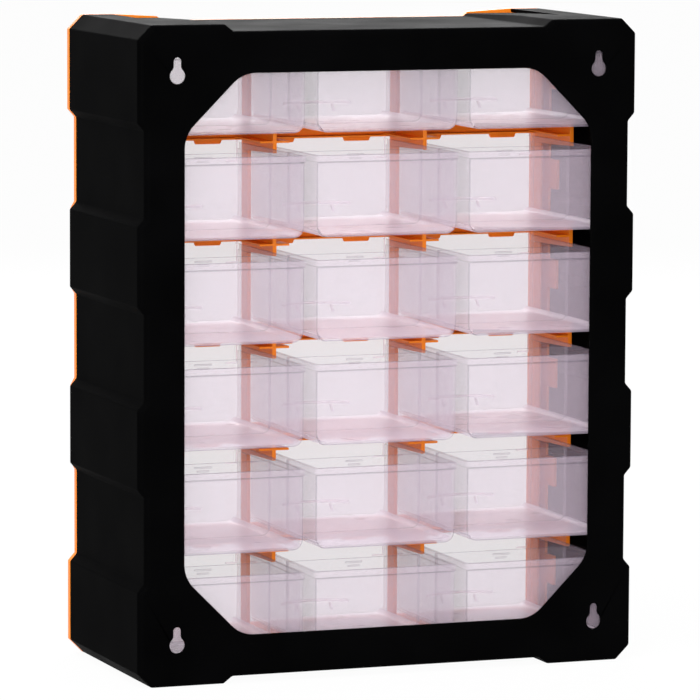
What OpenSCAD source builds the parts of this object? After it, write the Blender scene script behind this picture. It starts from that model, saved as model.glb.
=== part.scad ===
// Parts bin cabinet: a moulded housing with a window in its back plate, a front frame that
// snaps into it, and eighteen see-through drawers with one divider plate in each.
// X runs across the cabinet, Y from the drawer fronts to the back plate, and Z up.
// The origin is below the middle of the cabinet, on the surface that it stands on.

/* [Drawers] */
// Width of a drawer over its rim
drawer_w = 109.2; // [90:0.1:140]
// Height of a drawer
drawer_h = 58.5; // [45:0.1:80]
// Length of a drawer behind its front panel
drawer_l = 143.5; // [120:0.5:220]
// Thickness of a drawer's walls and floor
drawer_wall = 1.6; // [1.2:0.1:2.4]
// Outer radius of a drawer's lower edges
drawer_corner_r = 8; // [5:0.5:12]
// Height of the rim band round a drawer
drawer_rim_h = 4.6; // [3:0.1:8]
// How far the rim band stands out from the wall
drawer_rim_t = 0.9; // [0.5:0.1:1.2]
// Thickness of a drawer's front panel
panel_t = 2.5; // [2:0.1:3.5]
// Gap between two neighbouring front panels
panel_gap = 1.6; // [1:0.1:3]

/* [Divider plates] */
// Thickness of a divider plate
divider_t = 1.5; // [1:0.1:2.5]
// Distance from the drawer's rear face to the divider plate
divider_back = 67; // [40:1:95]
// Width and height of the ribs that hold the divider plate
slot_rib = 1.2; // [0.8:0.1:2]

/* [Pulls and label holders] */
// Width of the finger pull
pull_w = 54; // [30:1:70]
// How far the finger pull stands out
pull_d = 10; // [7:0.5:11]
// Thickness of the finger pull
pull_t = 2.4; // [1.8:0.1:4]
// Height of the finger pull above the front panel's lower edge
pull_z = 16; // [10:1:24]
// Width of the label space
label_w = 108; // [30:1:110]
// Height of the label space
label_h = 18; // [10:1:20]
// Thickness of the rails that frame the label
label_rail = 1.4; // [1:0.1:2]
// Length of the feet that the label's lower edge stands on
label_foot = 8; // [4:1:14]

/* [Clearances] */
// Gap between a drawer's rim and the mullion beside it
side_gap = 2.3; // [2:0.1:4]
// Gap between a drawer and the ledge that it slides on
under_gap = 0.3; // [0.2:0.05:0.6]
// Gap between a drawer's rim and the bar above it
over_gap = 2.5; // [0.5:0.1:4]
// Gap between the stop tabs and the divider plates that pass under them
tab_gap = 1; // [0.4:0.1:15]
// Gap between a closed drawer's front panel and the front frame
shut_gap = 0.2; // [0.1:0.05:0.5]
// Gap between the front frame and the housing that it snaps into
fit_gap = 0.3; // [0.1:0.05:0.6]
// Gap between a divider plate and its slot
divider_gap = 0.25; // [0.1:0.05:0.5]

/* [Front frame] */
// Thickness of the mullions between the columns
mullion_t = 3; // [2.4:0.1:5]
// Height of the bars between the rows
bar_h = 13.5; // [12:0.5:24]
// Depth of the mullions and bars
grid_d = 12.5; // [8:0.5:20]
// Thickness of the bars' webs and flanges
grid_skin = 2; // [1.5:0.1:3]
// Thickness of the collar beside the drawer fronts
collar_x = 6.9; // [5.5:0.1:14]
// Thickness of the collar above and below the drawer fronts
collar_z = 2.7; // [2:0.1:10]
// Depth of the rim in front of the housing
rim_d = 4.5; // [3:0.1:8]
// How far the grid lies behind the housing's front edge
grid_setback = 9.5; // [9:0.5:16]
// Gap between the drawer fronts and the frame round them
front_margin = 0.8; // [0.5:0.1:2]
// Length of the runners behind the grid
runner_l = 55; // [30:1:60]
// Width of the ledge on top of a runner
runner_w = 32; // [28:1:50]
// Thickness of the ledge on top of a runner
runner_t = 1.8; // [1.2:0.1:3]
// How far a runner's web hangs below the bar at the grid
web_root = 7.8; // [4:0.1:12]
// How far a runner's web hangs below the bar at its free end
web_tip = 6.2; // [2:0.1:9]
// Width of the guard strip of a runner, which keeps the drawers below from tipping
guard_w = 23; // [18:1:40]
// Thickness of the guard strip
guard_t = 1.5; // [1.2:0.1:3]
// Height of the guard strip above the bars' underside
guard_lift = 1.2; // [0:0.1:3]
// How far the stop tabs hang below a bar
tab_drop = 3.6; // [3:0.1:5.5]
// Width of a stop tab at its root
tab_w = 23; // [12:1:30]
// Distance from the middle of an opening to the middle of a stop tab
tab_x = 29.9; // [20:0.1:38]
// Height of the clip arms at the sides
clip_h = 22; // [12:1:30]
// Length of the clip arms behind the grid
clip_l = 16; // [8:1:30]

/* [Housing] */
// Thickness of the housing's walls
wall = 2.6; // [2:0.1:4]
// Thickness of the back plate
back_t = 3; // [2:0.1:5]
// Gap between the drawers and the back plate
rear_gap = 4; // [2:0.5:20]
// Depth of the recesses in the sides, top and bottom
recess = 5; // [3:0.1:8]
// Size of the corner bevels
corner_cut = 10.5; // [6:0.5:14]
// Rounding of the back plate's outer edge
back_round = 4; // [1:0.5:5]
// Length of each recess in the sides
side_recess_l = 62; // [40:1:70]
// Length of the pads between the side recesses
side_pad_l = 56.5; // [40:0.5:62]
// Run of the slopes at the ends of the side recesses
side_slope = 5.6; // [3:0.1:9]
// Length of the recess in the top and in the bottom
top_recess_l = 237.2; // [180:0.2:240]
// Run of the slopes at the ends of the top and bottom recesses
top_slope = 6.5; // [3:0.1:10]
// How far the top pads dip at the front
dip = 3; // [1:0.1:4]
// Length of the dip in the top pads
dip_l = 96; // [40:1:110]
// Distance from the housing's side to the dip
dip_x = 33; // [26:1:45]

/* [Back window] */
// Width of the border beside the window
window_x = 34.6; // [28:0.1:60]
// Height of the border above and below the window
window_z = 34.6; // [28:0.1:60]
// Size of the window's corner bevels
window_cut = 43; // [37:1:60]
// Radius between the window's straight edges
window_r = 24; // [10:1:30]

/* [Keyholes] */
// Radius of the keyholes' round entry
key_r = 5.75; // [4:0.25:7]
// Width of the keyholes' slot
key_slot_w = 5.75; // [3:0.25:6]
// Distance from the entry's middle to the middle of the slot's end
key_rise = 10.2; // [8:0.1:12]
// Angle in the entry, from upright, at which the flare into the slot begins
key_flare = 50; // [40:1:52]
// How far the flare reaches above the entry
key_neck = 1.4; // [0.5:0.1:3]
// Distance from the housing's side to the keyholes
key_x = 29.2; // [25:0.1:34]
// Distance from the top to the upper keyholes
key_top = 35.8; // [32:0.1:40]
// Distance from the bottom to the lower keyholes
key_bottom = 29.9; // [20:0.1:32]

/* [Hidden] */
rows = 6;
columns = 3;

$fn = 48;
EPS = 0.01;
BLACK = [0.07, 0.07, 0.075];
ORANGE = [0.86, 0.4, 0.08];
FROSTED = [0.88, 0.84, 0.88, 0.6];
CLEAR = [0.9, 0.9, 0.93, 0.5];

// The grid of openings, from the drawers that fill it
opening_w = drawer_w + 2 * side_gap;
opening_h = drawer_h + under_gap + over_gap;
cell_w = opening_w + mullion_t;
cell_h = opening_h + bar_h;
grid_w = columns * cell_w - mullion_t;
grid_h = rows * cell_h - bar_h;

// The front panels, and the opening in the frame round them
panel_w = cell_w - panel_gap;
panel_h = cell_h - panel_gap;
face_w = (columns - 1) * cell_w + panel_w + 2 * front_margin;
face_h = (rows - 1) * cell_h + panel_h + 2 * front_margin;

// The front frame's collar, and the housing that it fits
collar_w = face_w + 2 * collar_x;
collar_h = face_h + 2 * collar_z;
cabinet_w = collar_w + 2 * (fit_gap + wall + recess);
cabinet_h = collar_h + 2 * (fit_gap + wall + recess);
half_w = cabinet_w / 2;
mid_z = cabinet_h / 2;

// Places along the depth, from the front to the back
housing_d = grid_setback + drawer_l + rear_gap + back_t;
total_d = rim_d + housing_d;
front_y = -total_d / 2;
housing_y = front_y + rim_d;
grid_y = housing_y + grid_setback;
grid_rear_y = grid_y + grid_d;
runner_y = grid_rear_y + runner_l;
drawer_y = grid_y - shut_gap;
drawer_rear_y = grid_y + drawer_l;
back_y = total_d / 2;
inside_y = back_y - back_t;
panel_y = drawer_y - panel_t;

// The drawer's inside, and the slot for its divider plate
body_w = drawer_w - 2 * drawer_rim_t;
inner_w = body_w - 2 * drawer_wall;
inner_r = drawer_corner_r - drawer_wall;
divider_y = drawer_rear_y - divider_back;
divider_top = drawer_h + over_gap - tab_drop - tab_gap;
divider_h = divider_top - drawer_wall;

// The frame's pads on the sides stop short of the housing's, and its top pads slope inwards
RIM_PAD_STEP = 2;
RIM_TOP_FALL = 2.2;

// The snap ridges on the collar, and the grooves for them in the housing
SNAP_R = 1.4;
SNAP_OUT = 0.8;
SNAP_L = 30;
snap_y = housing_y + grid_setback / 2;

// How far inside a keyhole's entry the flare begins
KEY_ROOT = 0.75;

// Rounding of the stop tabs' lower corners
TAB_R = 1.2;

// The two raised dashes on a divider plate: length, and depth below its top
DASHES = [[13, 2.9], [9, 5.6]];
DASH_H = 0.9;
DASH_OUT = 0.5;

// Middle of an opening across the cabinet, and the height of its ledge
function column_x(c) = (c - (columns + 1) / 2) * cell_w;
function ledge_z(r) = mid_z + grid_h / 2 - r * cell_h + bar_h;

// A vector of length one
function unit(v) = v / norm(v);

// The points of an anticlockwise outline, moved inwards by d
function inset(pts, d) = [
    for (i = [0:len(pts) - 1])
        let (
            b = pts[i],
            u = unit(b - pts[(i + len(pts) - 1) % len(pts)]),
            v = unit(pts[(i + 1) % len(pts)] - b),
            n = [-u.y, u.x],
            m = [-v.y, v.x]
        )
        b + d * (n + m) / (1 + n * m)
];

// A convex anticlockwise outline with every corner turned into an arc of radius r
function rounded(pts, r, steps = 8) = [
    for (i = [0:len(pts) - 1])
        let (
            b = pts[i],
            u = unit(b - pts[(i + len(pts) - 1) % len(pts)]),
            v = unit(pts[(i + 1) % len(pts)] - b),
            turn = atan2(u.x * v.y - u.y * v.x, u * v),
            heading = atan2(u.y, u.x),
            centre = b - u * r * tan(turn / 2) + r * [-u.y, u.x]
        )
        for (k = [0:steps])
            let (a = heading - 90 + turn * k / steps)
            centre + r * [cos(a), sin(a)]
];

// The right half of the outline as seen from the front, from the bottom to the top.
// The pads between the side recesses lie pad_step inside the corner pads.
function right_half(pad_step) = let (
    flat = top_recess_l / 2,
    pitch = side_recess_l + 2 * side_slope + side_pad_l,
    pad_x = half_w - pad_step
) concat(
    [[flat, recess], [flat + top_slope, 0], [half_w - corner_cut, 0], [half_w, corner_cut]],
    [
        for (k = [-1:1])
            let (z = mid_z + k * pitch, h = side_recess_l / 2)
            each [
                [k == -1 ? half_w : pad_x, z - h - side_slope],
                [half_w - recess, z - h],
                [half_w - recess, z + h],
                [k == 1 ? half_w : pad_x, z + h + side_slope]
            ]
    ],
    [
        [half_w, cabinet_h - corner_cut],
        [half_w - corner_cut, cabinet_h],
        [flat + top_slope, cabinet_h],
        [flat, cabinet_h - recess]
    ]
);

// The other half of an outline
function other_half(pts) = [for (i = [len(pts) - 1:-1:0]) [-pts[i].x, pts[i].y]];

// The whole outline: bevelled corners, pads and recesses
function outline(pad_step = 0) = concat(right_half(pad_step), other_half(right_half(pad_step)));

// A flat shape in X and Z, given depth from y0 to y1
module along_y(y0, y1) {
    translate([0, y1, 0]) rotate([90, 0, 0]) linear_extrude(height = y1 - y0) children();
}

// A flat shape in Y and Z, given width from x0 to x1
module along_x(x0, x1) {
    translate([x0, 0, 0]) rotate([90, 0, 90]) linear_extrude(height = x1 - x0) children();
}

// Both sides of the cabinet
module both_sides() {
    children();
    mirror([1, 0, 0]) children();
}

// A closed ring through outlines of equal length; each station is [y, outline]
module ring(stations) {
    n = len(stations[0][1]);
    m = len(stations);
    polyhedron(
        points = [for (s = stations, p = s[1]) [p.x, s[0], p.y]],
        faces = [
            for (k = [0:m - 1], i = [0:n - 1])
                let (j = (i + 1) % n, next = (k + 1) % m)
                [k * n + i, k * n + j, next * n + j, next * n + i]
        ]
    );
}

// A rectangle centred across the cabinet and on its middle height
module centred(w, h) {
    translate([-w / 2, mid_z - h / 2]) square([w, h]);
}

// ---- Housing ----

// What rounds the back plate's outer edge: a ring round the outline, hollow where the plate is
module back_edge() {
    arc = [
        for (a = [90:-15:0])
            [back_y - back_round * (1 - sin(a)), back_round * (1 - cos(a))]
    ];
    section = concat([[back_y - back_round, -1], [back_y + 1, -1], [back_y + 1, back_round]], arc);
    ring([for (s = section) [s[0], inset(outline(), s[1])]]);
}

// What the dips take off the top pads, lowered by the depth given
module top_dips(lower = 0) {
    both_sides()
        translate([0, 0, -lower])
            along_x(top_recess_l / 2 - top_slope, half_w - dip_x)
                polygon([
                    [housing_y - 1, cabinet_h - dip],
                    [housing_y, cabinet_h - dip],
                    [housing_y + dip_l, cabinet_h],
                    [housing_y + dip_l, cabinet_h + lower + 1],
                    [housing_y - 1, cabinet_h + lower + 1]
                ]);
}

// The window in the back plate, a rectangle with bevelled and rounded corners
module window() {
    w = half_w - window_x;
    h = mid_z - window_z;
    c = window_cut;
    corners = [
        [w, c - h], [w, h - c], [w - c, h], [c - w, h],
        [-w, h - c], [-w, c - h], [c - w, -h], [w - c, -h]
    ];
    along_y(inside_y - 1, back_y + 1) translate([0, mid_z]) polygon(rounded(corners, window_r));
}

// One keyhole: the screw's head goes in at the round entry, and its neck up into the slot.
// A flare guides the neck from one into the other.
module keyhole() {
    x = (key_r - KEY_ROOT) * sin(key_flare);
    z = (key_r - KEY_ROOT) * cos(key_flare);
    neck_z = key_r + key_neck;
    along_y(inside_y - 1, back_y + 1) {
        circle(r = key_r);
        translate([0, key_rise]) circle(d = key_slot_w);
        translate([-key_slot_w / 2, 0]) square([key_slot_w, key_rise]);
        polygon([[-x, z], [x, z], [key_slot_w / 2, neck_z], [-key_slot_w / 2, neck_z]]);
    }
}

// The ridges that snap the front frame into the housing, grown by the gap given
module snap_ridges(grow = 0) {
    both_sides()
        for (k = [-1:1])
            translate([
                collar_w / 2 - SNAP_R + SNAP_OUT,
                snap_y,
                mid_z + k * (side_recess_l + 2 * side_slope + side_pad_l) - SNAP_L / 2 - grow
            ])
                cylinder(r = SNAP_R + grow, h = SNAP_L + 2 * grow);
}

module housing() {
    color(BLACK)
    difference() {
        along_y(housing_y, back_y) polygon(outline());
        back_edge();
        top_dips();
        difference() {
            along_y(housing_y - 1, inside_y) polygon(inset(outline(), wall));
            top_dips(lower = wall);
        }
        window();
        both_sides()
            for (z = [key_bottom, cabinet_h - key_top])
                translate([half_w - key_x, 0, z]) keyhole();
        snap_ridges(grow = fit_gap);
    }
}

// ---- Front frame ----

// The rim in front of the housing, its top pads sloping inwards
module rim() {
    difference() {
        along_y(front_y, housing_y)
            difference() {
                polygon(outline(RIM_PAD_STEP));
                centred(face_w, face_h);
            }
        both_sides()
            along_y(front_y - 1, housing_y + 1)
                polygon([
                    [half_w - dip_x, cabinet_h],
                    [top_recess_l / 2, cabinet_h - RIM_TOP_FALL],
                    [top_recess_l / 2, cabinet_h + 1],
                    [half_w - dip_x, cabinet_h + 1]
                ]);
    }
}

// The collar that goes into the housing, round the drawer fronts and then round the grid
module collar() {
    along_y(housing_y, grid_y + grid_skin)
        difference() {
            centred(collar_w, collar_h);
            centred(face_w, face_h);
        }
    along_y(grid_y, grid_rear_y)
        difference() {
            centred(collar_w, collar_h);
            centred(collar_w - 2 * grid_skin, collar_h - 2 * grid_skin);
        }
    snap_ridges();
}

// All the openings for the drawers, each larger on every side by the size given
module openings(more = 0) {
    for (r = [1:rows], c = [1:columns])
        translate([column_x(c) - opening_w / 2 - more, ledge_z(r) - more])
            square([opening_w + 2 * more, opening_h + 2 * more]);
}

// The grid: a front skin, and a sleeve round each opening that makes mullions and hollow bars
module grid() {
    along_y(grid_y, grid_y + grid_skin)
        difference() {
            centred(collar_w, collar_h);
            openings();
        }
    along_y(grid_y, grid_rear_y)
        difference() {
            openings(more = mullion_t / 2);
            openings();
        }
}

// A tab below the bar that keeps an open drawer from falling out, its lower corners rounded
module stop_tab() {
    top = mullion_t / 2;
    narrow = tab_w - tab_drop;
    along_y(grid_y, grid_y + grid_skin)
        polygon(rounded([
            [-narrow / 2, -tab_drop], [narrow / 2, -tab_drop], [tab_w / 2, top], [-tab_w / 2, top]
        ], TAB_R));
}

// A runner behind the grid: a ledge on a web, with a guard strip over the drawers below.
// The ledge reaches from x - left to x + right, and the strip no further.
module runner(r, x, left, right) {
    z = ledge_z(r);
    deepest = z - mid_z + collar_h / 2;
    along_x(x - mullion_t / 2, x + mullion_t / 2)
        polygon([
            [grid_rear_y - EPS, z], [runner_y, z],
            [runner_y, z - min(bar_h + web_tip, deepest)],
            [grid_rear_y - EPS, z - min(bar_h + web_root, deepest)]
        ]);
    translate([x - left, grid_rear_y - EPS, z - runner_t]) cube([left + right, runner_l + EPS, runner_t]);
    if (r < rows)
        translate([x - min(left, guard_w / 2), grid_rear_y - EPS, z - bar_h + guard_lift])
            cube([min(left, guard_w / 2) + min(right, guard_w / 2), runner_l + EPS, guard_t]);
}

// The runners that carry one row of drawers
module row_of_runners(r) {
    edge = grid_w / 2 + mullion_t / 2;
    both_sides() {
        runner(r, cell_w / 2, runner_w / 2, runner_w / 2);
        runner(r, edge, runner_w / 2, mullion_t / 2);
    }
}

// The arms at the sides that press against the housing
module clip_arms(r) {
    both_sides()
        translate([collar_w / 2 - grid_skin, grid_rear_y - EPS, ledge_z(r) + (opening_h - clip_h) / 2])
            cube([grid_skin, clip_l + EPS, clip_h]);
}

module front_frame() {
    color(ORANGE) {
        rim();
        collar();
        grid();
        for (r = [1:rows]) {
            row_of_runners(r);
            clip_arms(r);
            for (c = [1:columns], side = [-1, 1])
                translate([column_x(c) + side * tab_x, 0, ledge_z(r) + opening_h]) stop_tab();
        }
    }
}

// ---- Drawers ----

// A trough's cross-section, standing on Z = 0, with round lower corners
module trough(w, h, r) {
    translate([-w / 2, r]) square([w, h - r]);
    translate([r - w / 2, 0]) square([w - 2 * r, r + EPS]);
    for (side = [-1, 1])
        translate([side * (w / 2 - r), r]) circle(r = r);
}

// The drawer's walls and floor, with the rim band round the top
module drawer_body() {
    difference() {
        union() {
            along_y(drawer_y, drawer_rear_y - drawer_rim_t) trough(body_w, drawer_h, drawer_corner_r);
            along_y(drawer_y, drawer_rear_y)
                translate([-drawer_w / 2, drawer_h - drawer_rim_h]) square([drawer_w, drawer_rim_h]);
        }
        along_y(drawer_y - 1, drawer_rear_y - drawer_rim_t - drawer_wall)
            translate([0, drawer_wall]) trough(inner_w, drawer_h, inner_r);
    }
}

// The ribs on the inner walls that hold the divider plate
module slot_ribs() {
    for (y = [divider_y - divider_gap - slot_rib, divider_y + divider_t + divider_gap])
        along_y(y, y + slot_rib)
            intersection() {
                translate([0, drawer_wall - EPS]) trough(inner_w + 2 * EPS, divider_h, inner_r);
                for (side = [-1, 1])
                    translate([side * (inner_w / 2 + EPS) - slot_rib, 0]) square([2 * slot_rib, drawer_h]);
            }
}

// The front panel: it covers the opening's edges, and its lower edge lies below the ledge
module front_panel() {
    translate([-panel_w / 2, panel_y, (opening_h - panel_h) / 2 - under_gap])
        cube([panel_w, panel_t, panel_h]);
}

// The finger pull, a lip with a curved front edge and a web under it at each end
module finger_pull() {
    z = (opening_h - panel_h) / 2 - under_gap + pull_z;
    reach = pull_d + EPS;
    curve_r = (reach * reach + pull_w * pull_w / 4) / (2 * reach);
    translate([0, panel_y + EPS, z])
        intersection() {
            translate([0, curve_r - reach, 0]) cylinder(r = curve_r, h = pull_t, $fn = 96);
            translate([-pull_w / 2, -reach, 0]) cube([pull_w, reach, pull_t]);
        }
    for (side = [-1, 1])
        along_x(side * pull_w / 4 - pull_t / 2, side * pull_w / 4 + pull_t / 2)
            polygon([
                [panel_y + EPS, z + EPS], [panel_y - pull_d / 2, z + EPS], [panel_y + EPS, z - pull_d / 2]
            ]);
}

// The rails on the front panel that frame a paper label, with short feet under its ends
module label_holder() {
    rail = label_rail;
    z = (opening_h + panel_h) / 2 - under_gap - label_h - 3 * rail;
    both_sides()
        translate([label_w / 2, panel_y - rail, z - rail]) {
            cube([rail, rail + EPS, label_h + rail]);
            translate([-label_foot, 0, 0]) cube([label_foot + EPS, rail + EPS, rail]);
        }
}

module drawer(r, c) {
    color(FROSTED)
    translate([column_x(c), 0, ledge_z(r) + under_gap]) {
        drawer_body();
        slot_ribs();
        front_panel();
        finger_pull();
        label_holder();
    }
}

// The plate that parts a drawer in two, with two raised dashes near the top of its rear face
module divider(r, c) {
    color(CLEAR)
    translate([column_x(c), 0, ledge_z(r) + under_gap]) {
        along_y(divider_y, divider_y + divider_t)
            translate([0, drawer_wall]) trough(inner_w - 2 * divider_gap, divider_h, inner_r);
        for (dash = DASHES)
            translate([-dash[0] / 2, divider_y + divider_t - EPS, divider_top - dash[1] - DASH_H / 2])
                cube([dash[0], DASH_OUT + EPS, DASH_H]);
    }
}

housing();
front_frame();
for (r = [1:rows], c = [1:columns]) {
    drawer(r, c);
    divider(r, c);
}
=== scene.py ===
"""Looks of a parts bin cabinet: black housing, orange front frame, frosted drawers and clear dividers.

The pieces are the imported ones, in metres: X across, Y from the drawer fronts to the back plate, Z up.
This script rounds their edges, gives every piece its plastic, and sets the camera, floor and light.
"""
import math

import bpy
from mathutils import Matrix, Vector


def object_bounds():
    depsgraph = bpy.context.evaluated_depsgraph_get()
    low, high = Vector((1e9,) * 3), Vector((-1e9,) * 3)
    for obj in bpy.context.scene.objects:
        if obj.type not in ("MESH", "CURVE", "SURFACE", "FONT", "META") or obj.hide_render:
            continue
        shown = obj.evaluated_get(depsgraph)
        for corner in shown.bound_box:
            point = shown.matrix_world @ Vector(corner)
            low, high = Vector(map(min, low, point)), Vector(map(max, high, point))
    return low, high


MM = 0.001

# The camera, behind the cabinet as in the photograph, with its focal length in the photograph's pixels
IMAGE_PX = 700
FOCAL_PX = 5167
SENSOR_MM = 36
CLIP_END = 60
CAMERA_PLACE = Vector((1.331, 3.508, 0.656))
CAMERA_YAW = math.radians(200.78)
CAMERA_PITCH = math.radians(-6.533)
CAMERA_ROLL = math.radians(0.266)

# The floor and the background: how much of the floor shows as white, and how strongly the world lights
FLOOR_SIZE = 60
FLOOR_COLOUR = (0.8, 0.8, 0.8)
FLOOR_WHITE_SHARE = 0.96
WORLD_LIGHT = 0.6

# The lamps, all square softboxes: name, place, size and power
LAMPS = [
    ("behind", (1.6, 3.8, 0.9), 1.6, 130),
    ("above", (0.9, 0.8, 2.4), 1.2, 40),
    ("front", (-0.6, -2.2, 1.6), 1.8, 60),
]

# How many see-through surfaces a line of sight may cross
SEE_THROUGH_SURFACES = 48

# Colours, as linear light
BLACK = (0.0010, 0.0010, 0.0011)
ORANGE = (0.88, 0.215, 0.008)
FROSTED = (0.56, 0.465, 0.555)
# Painted light: paler for a drawer's floor and for the faces of its pull and label rails that look forward
# or up
PAINTED_LIGHT_PALE = (0.88, 0.79, 0.89)
CLEAR = (0.74, 0.70, 0.76)
# Painted shade for the rounded edges of see-through pieces
EDGE = (0.24, 0.20, 0.26)
WHITE = (1.0, 1.0, 1.0)

# How much each surface of a see-through piece hides: a drawer's walls, its floor and pull with painted
# light, a divider plate, and the rounded edges of both with painted shade, where light runs along the wall
FROSTED_ALPHA = 0.19
PAINTED_LIGHT_ALPHA = 0.48
CLEAR_ALPHA = 0.05
FROSTED_EDGE_ALPHA = 0.38
CLEAR_EDGE_ALPHA = 0.45

# The stretch of a noise texture's values over which a tone or a number changes
NOISE_LOW = 0.3
NOISE_HIGH = 0.7

# Places of the edges' painted shade and of the painted light on floor and pull in the list of a see-through
# piece's materials
EDGE_SLOT = 1
PAINTED_LIGHT_SLOT = 2

# Rounded edges: their width on each kind of piece, the angle from which an edge is sharp, and how
# close two faces' corners lie to be one
EDGE_WIDTHS = {"housing": 1.0 * MM, "front_frame": 0.3 * MM, "drawer": 0.2 * MM, "divider": 0.2 * MM}
EDGE_SEGMENTS = 2
EDGE_ANGLE = math.radians(32)
WELD = 0.002 * MM

# The painted shade on a drawer's edges: this wide on its rear outline below the rim band, and a share of
# that round its front panel and on its other long edges
OUTLINE_WIDTH = 0.9 * MM
PANEL_SHARE = 0.45
LONG_SHARE = 0.16
LONG_EDGE = 60 * MM

# A drawer's form: how far its rim band stands out and how high it is, how far its finger pull stands
# out from the front panel, and how far its floor and lower corners reach up from its lowest point
RIM_STEP = 0.9 * MM
RIM_BAND = 4.6 * MM
PULL_REACH = 10 * MM
FLOOR_REACH = 14.5 * MM

# How close to a plane a point is on it, and from which share of its normal a face looks one way
NEAR = 0.05 * MM
FACING = 0.5


# ---- Materials ----

def new_material(name, colour, roughness, shine=0.5, alpha=1.0):
    """A Principled material, its node tree and its shader."""
    material = bpy.data.materials.new(name)
    material.use_nodes = True
    tree = material.node_tree
    shader = tree.nodes["Principled BSDF"]
    shader.inputs["Base Color"].default_value = (*colour, 1)
    shader.inputs["Roughness"].default_value = roughness
    shader.inputs["Specular IOR Level"].default_value = shine
    shader.inputs["Alpha"].default_value = alpha
    return material, tree, shader


def noise(tree, size, detail=2):
    """A noise texture whose features are about size metres across, in the frame of the object."""
    place = tree.nodes.new("ShaderNodeTexCoord")
    texture = tree.nodes.new("ShaderNodeTexNoise")
    texture.inputs["Scale"].default_value = 1 / size
    texture.inputs["Detail"].default_value = detail
    tree.links.new(place.outputs["Object"], texture.inputs["Vector"])
    return texture


def vary(tree, texture, socket, low, high):
    """Drives a number of the shader with the noise, from low to high."""
    spread = tree.nodes.new("ShaderNodeMapRange")
    spread.inputs["From Min"].default_value = NOISE_LOW
    spread.inputs["From Max"].default_value = NOISE_HIGH
    spread.inputs["To Min"].default_value = low
    spread.inputs["To Max"].default_value = high
    tree.links.new(texture.outputs["Fac"], spread.inputs["Value"])
    tree.links.new(spread.outputs["Result"], socket)


def tint(tree, texture, shader, low, high):
    """Varies the base colour between two tones with the noise."""
    ramp = tree.nodes.new("ShaderNodeValToRGB")
    ramp.color_ramp.elements[0].position = NOISE_LOW
    ramp.color_ramp.elements[1].position = NOISE_HIGH
    ramp.color_ramp.elements[0].color = (*low, 1)
    ramp.color_ramp.elements[1].color = (*high, 1)
    tree.links.new(texture.outputs["Fac"], ramp.inputs["Fac"])
    tree.links.new(ramp.outputs["Color"], shader.inputs["Base Color"])


def grain(tree, texture, shader, height, strength):
    """Raises the surface with the noise by height metres."""
    bump = tree.nodes.new("ShaderNodeBump")
    bump.inputs["Distance"].default_value = height
    bump.inputs["Strength"].default_value = strength
    tree.links.new(texture.outputs["Fac"], bump.inputs["Height"])
    tree.links.new(bump.outputs["Normal"], shader.inputs["Normal"])


def scaled(colour, share):
    """The colour made darker or lighter."""
    return tuple(c * share for c in colour)


def black_plastic():
    """Black polypropylene with a fine, even spark-eroded grain."""
    material, tree, shader = new_material("black_plastic_finish", BLACK, roughness=0.5, shine=0.003)
    patches = noise(tree, size=60 * MM)
    tint(tree, patches, shader, low=scaled(BLACK, 0.8), high=scaled(BLACK, 1.3))
    vary(tree, patches, shader.inputs["Roughness"], low=0.5, high=0.6)
    grain(tree, noise(tree, size=0.9 * MM, detail=3), shader, height=0.05 * MM, strength=0.5)
    return material


def orange_plastic():
    """Orange polypropylene, satin, with a slightly uneven depth of colour."""
    material, tree, shader = new_material("orange_plastic_finish", ORANGE, roughness=0.4, shine=0.3)
    patches = noise(tree, size=25 * MM)
    tint(tree, patches, shader, low=scaled(ORANGE, 0.93), high=scaled(ORANGE, 1.04))
    vary(tree, patches, shader.inputs["Roughness"], low=0.34, high=0.46)
    grain(tree, noise(tree, size=1.2 * MM), shader, height=0.02 * MM, strength=0.4)
    return material


def frosted_plastic(name, colour, shine, alpha):
    """Milky see-through polypropylene, a little cloudier here than there."""
    material, tree, shader = new_material(name, colour, roughness=0.3, shine=shine, alpha=alpha)
    patches = noise(tree, size=30 * MM)
    tint(tree, patches, shader, low=scaled(colour, 0.95), high=colour)
    vary(tree, patches, shader.inputs["Roughness"], low=0.26, high=0.36)
    grain(tree, noise(tree, size=6 * MM), shader, height=0.05 * MM, strength=0.3)
    return material


def clear_plastic():
    """Clear polystyrene sheet for the divider plates."""
    material, tree, shader = new_material("clear_plastic_finish", CLEAR, roughness=0.15, alpha=CLEAR_ALPHA)
    vary(tree, noise(tree, size=20 * MM), shader.inputs["Roughness"], low=0.12, high=0.2)
    grain(tree, noise(tree, size=8 * MM), shader, height=0.04 * MM, strength=0.2)
    return material


def painted_edge_shade(name, alpha):
    """A see-through piece's rounded edge, darker and denser: painted shade for the light that runs along the
    wall and is lost there.
    """
    material, tree, shader = new_material(name, EDGE, roughness=0.3, alpha=alpha)
    patches = noise(tree, size=15 * MM)
    tint(tree, patches, shader, low=scaled(EDGE, 0.9), high=scaled(EDGE, 1.1))
    vary(tree, patches, shader.inputs["Roughness"], low=0.25, high=0.35)
    return material


def drawer_finishes():
    """A drawer's walls, its edges with painted shade, and its floor, finger pull and label rails with
    painted light.
    """
    return [
        frosted_plastic("frosted_plastic_finish", FROSTED, shine=0.4, alpha=FROSTED_ALPHA),
        painted_edge_shade("frosted_edge_painted_shade", FROSTED_EDGE_ALPHA),
        frosted_plastic("frosted_floor_painted_light", PAINTED_LIGHT_PALE, shine=0.25, alpha=PAINTED_LIGHT_ALPHA),
    ]


def divider_finishes():
    """A divider plate's faces and its edges with painted shade."""
    return [clear_plastic(), painted_edge_shade("clear_edge_painted_shade", CLEAR_EDGE_ALPHA)]


# ---- Edges and faces of the pieces ----

def place_key(place):
    """The same key for all points at one place."""
    return tuple(round(c / WELD) for c in place)


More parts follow.
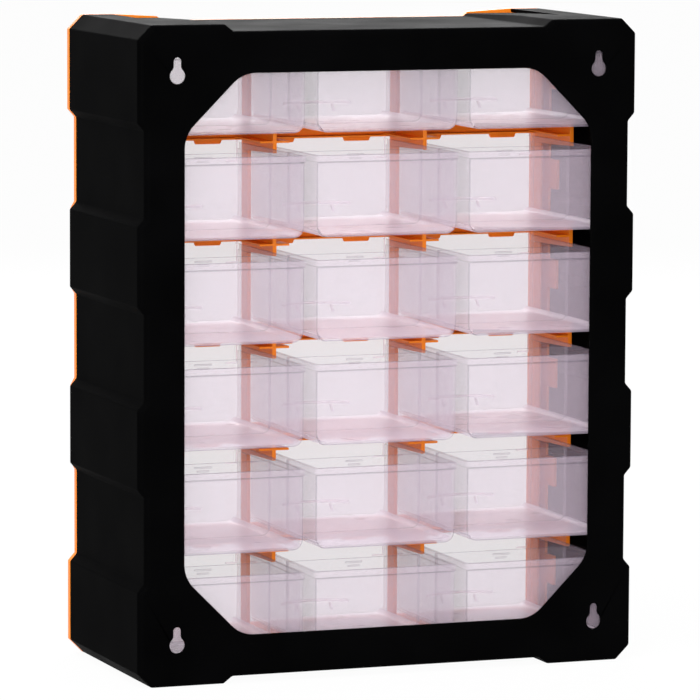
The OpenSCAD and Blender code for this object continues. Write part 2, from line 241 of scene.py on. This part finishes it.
def sharp_edges(mesh):
    """The edges where two faces meet at an angle, each as the places of its ends.

    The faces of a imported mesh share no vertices, so an edge is known by where it lies.
    """
    places = [place_key(vertex.co) for vertex in mesh.vertices]
    normals = {}
    for face in mesh.polygons:
        for a, b in face.edge_keys:
            normals.setdefault(frozenset((places[a], places[b])), []).append(face.normal)
    return {
        ends for ends, pair in normals.items()
        if len(pair) == 2 and pair[0].angle(pair[1], 0) > EDGE_ANGLE
    }


def panel_front(mesh):
    """Where the outer face of a drawer's front panel lies along Y."""
    return min(vertex.co.y for vertex in mesh.vertices) + PULL_REACH


def weigh_edges(mesh):
    """Says how much of the painted edge shade's width each edge of a drawer gets."""
    front = panel_front(mesh)
    rear = max(vertex.co.y for vertex in mesh.vertices) - RIM_STEP
    rim = max(vertex.co.z for vertex in mesh.vertices) - RIM_BAND
    sharp = sharp_edges(mesh)
    weights = mesh.attributes.new("bevel_weight_edge", "FLOAT", "EDGE")
    for edge in mesh.edges:
        a, b = (mesh.vertices[i].co for i in edge.vertices)
        if frozenset((place_key(a), place_key(b))) not in sharp:
            continue
        if all(abs(end.y - rear) < NEAR for end in (a, b)) and min(a.z, b.z) < rim - NEAR:
            weights.data[edge.index].value = 1
        elif (a - b).length > LONG_EDGE:
            on_panel = all(abs(end.y - front) < NEAR for end in (a, b))
            weights.data[edge.index].value = PANEL_SHARE if on_panel else LONG_SHARE


def add_bevel(piece, width, limit):
    """A modifier that rounds the edges that limit names, by weight or by angle."""
    bevel = piece.modifiers.new("Edges", "BEVEL")
    bevel.width = width
    bevel.segments = EDGE_SEGMENTS
    bevel.limit_method = limit
    bevel.angle_limit = EDGE_ANGLE
    bevel.use_clamp_overlap = False
    bevel.harden_normals = True
    bevel.miter_outer = "MITER_ARC"
    return bevel


def round_edges(piece, kind):
    """Rounds a piece's sharp edges with modifiers, so that they catch the light, and its mesh stays."""
    weld = piece.modifiers.new("Weld", "WELD")
    weld.merge_threshold = WELD
    # A drawer's weighted outline and a divider's rounded edges get the painted edge shade
    if kind == "drawer":
        weigh_edges(piece.data)
        add_bevel(piece, OUTLINE_WIDTH, "WEIGHT").material = EDGE_SLOT
    bevel = add_bevel(piece, EDGE_WIDTHS[kind], "ANGLE")
    if kind == "divider":
        bevel.material = EDGE_SLOT


def mark_painted_light(mesh):
    """Gives the painted light, a paler and denser finish, to a drawer's floor and lower corners, and to its
    finger pull and label rails where they face forward or up.
    """
    front = panel_front(mesh) - NEAR
    reach = min(vertex.co.z for vertex in mesh.vertices) + FLOOR_REACH
    for face in mesh.polygons:
        on_floor = face.center.z < reach and abs(face.normal.z) > FACING
        on_front = face.center.y < front and max(face.normal.z, -face.normal.y) > FACING
        if on_floor or on_front:
            face.material_index = PAINTED_LIGHT_SLOT


def dress(nodes):
    """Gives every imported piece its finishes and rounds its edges."""
    finishes = {
        "housing": [black_plastic()],
        "front_frame": [orange_plastic()],
        "drawer": drawer_finishes(),
        "divider": divider_finishes(),
    }
    for name, piece in nodes.items():
        kind = name if name in finishes else name.split("_")[0]
        piece.data.materials.clear()
        for material in finishes[kind]:
            piece.data.materials.append(material)
        if kind == "drawer":
            mark_painted_light(piece.data)
        round_edges(piece, kind)


# ---- Camera, floor and light ----

def make_camera():
    """The photograph's camera: behind the cabinet, to its +X side, a little above it."""
    data = bpy.data.cameras.new("camera")
    data.sensor_width = SENSOR_MM
    data.lens = FOCAL_PX / IMAGE_PX * SENSOR_MM
    data.clip_end = CLIP_END
    camera = bpy.data.objects.new("camera", data)
    bpy.context.scene.collection.objects.link(camera)
    ahead = Vector((
        math.sin(CAMERA_YAW) * math.cos(CAMERA_PITCH),
        math.cos(CAMERA_YAW) * math.cos(CAMERA_PITCH),
        math.sin(CAMERA_PITCH),
    ))
    level = ahead.cross(Vector((0, 0, 1))).normalized()
    above = level.cross(ahead)
    right = level * math.cos(CAMERA_ROLL) + above * math.sin(CAMERA_ROLL)
    up = above * math.cos(CAMERA_ROLL) - level * math.sin(CAMERA_ROLL)
    turn = Matrix((right, up, -ahead)).transposed().to_4x4()
    camera.matrix_world = Matrix.Translation(CAMERA_PLACE) @ turn
    bpy.context.scene.camera = camera


def seen_by_camera(tree):
    """1 for rays from the camera, mirrors and glass, and 0 for those that light things."""
    path = tree.nodes.new("ShaderNodeLightPath")
    seen = path.outputs["Is Camera Ray"]
    for kind in ("Is Glossy Ray", "Is Transmission Ray"):
        either = tree.nodes.new("ShaderNodeMath")
        either.operation = "MAXIMUM"
        tree.links.new(seen, either.inputs[0])
        tree.links.new(path.outputs[kind], either.inputs[1])
        seen = either.outputs["Value"]
    return seen


def floor_finish():
    """Matt and pale, mixed for the camera with a white glow, so that only the shadow tells it from white."""
    material, tree, matt = new_material("floor_finish", FLOOR_COLOUR, roughness=1, shine=0)
    glow = tree.nodes.new("ShaderNodeEmission")
    glow.inputs["Color"].default_value = (*WHITE, 1)
    share = tree.nodes.new("ShaderNodeMath")
    share.operation = "MULTIPLY"
    share.inputs[1].default_value = FLOOR_WHITE_SHARE
    tree.links.new(seen_by_camera(tree), share.inputs[0])
    mix = tree.nodes.new("ShaderNodeMixShader")
    tree.links.new(share.outputs["Value"], mix.inputs["Fac"])
    tree.links.new(matt.outputs["BSDF"], mix.inputs[1])
    tree.links.new(glow.outputs["Emission"], mix.inputs[2])
    tree.links.new(mix.outputs["Shader"], tree.nodes["Material Output"].inputs["Surface"])
    return material


def make_floor():
    """A pale floor that keeps the cabinet's shadow."""
    bpy.ops.mesh.primitive_plane_add(size=FLOOR_SIZE, location=(0, 0, 0))
    floor = bpy.context.object
    floor.name = "floor"
    floor.data.materials.append(floor_finish())


def make_world():
    """White where the camera sees it, and an even soft light otherwise."""
    world = bpy.data.worlds.new("world")
    bpy.context.scene.world = world
    world.use_nodes = True
    tree = world.node_tree
    background = tree.nodes["Background"]
    background.inputs["Color"].default_value = (*WHITE, 1)
    strength = tree.nodes.new("ShaderNodeMapRange")
    strength.inputs["To Min"].default_value = WORLD_LIGHT
    strength.inputs["To Max"].default_value = 1
    tree.links.new(seen_by_camera(tree), strength.inputs["Value"])
    tree.links.new(strength.outputs["Result"], background.inputs["Strength"])


def softbox(name, place, target, size, power):
    """A square area lamp that looks at a point."""
    data = bpy.data.lights.new(name, "AREA")
    data.shape = "SQUARE"
    data.size = size
    data.energy = power
    lamp = bpy.data.objects.new(name, data)
    bpy.context.scene.collection.objects.link(lamp)
    lamp.location = place
    lamp.rotation_mode = "QUATERNION"
    lamp.rotation_quaternion = (target - Vector(place)).to_track_quat("-Z", "Y")


# ---- The scene ----

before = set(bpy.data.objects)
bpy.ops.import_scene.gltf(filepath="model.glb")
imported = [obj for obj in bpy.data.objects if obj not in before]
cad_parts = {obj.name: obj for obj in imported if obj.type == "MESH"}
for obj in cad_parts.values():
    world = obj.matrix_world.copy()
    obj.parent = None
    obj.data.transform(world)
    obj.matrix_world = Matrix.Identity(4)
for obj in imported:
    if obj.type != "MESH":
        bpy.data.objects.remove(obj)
cad_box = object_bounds()

make_camera()
make_floor()
make_world()
for name, place, size, power in LAMPS:
    softbox(name, place, (cad_box[0] + cad_box[1]) / 2, size, power)

dress(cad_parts)

scene = bpy.context.scene
scene.view_settings.view_transform = "Standard"
scene.cycles.transparent_max_bounces = SEE_THROUGH_SURFACES
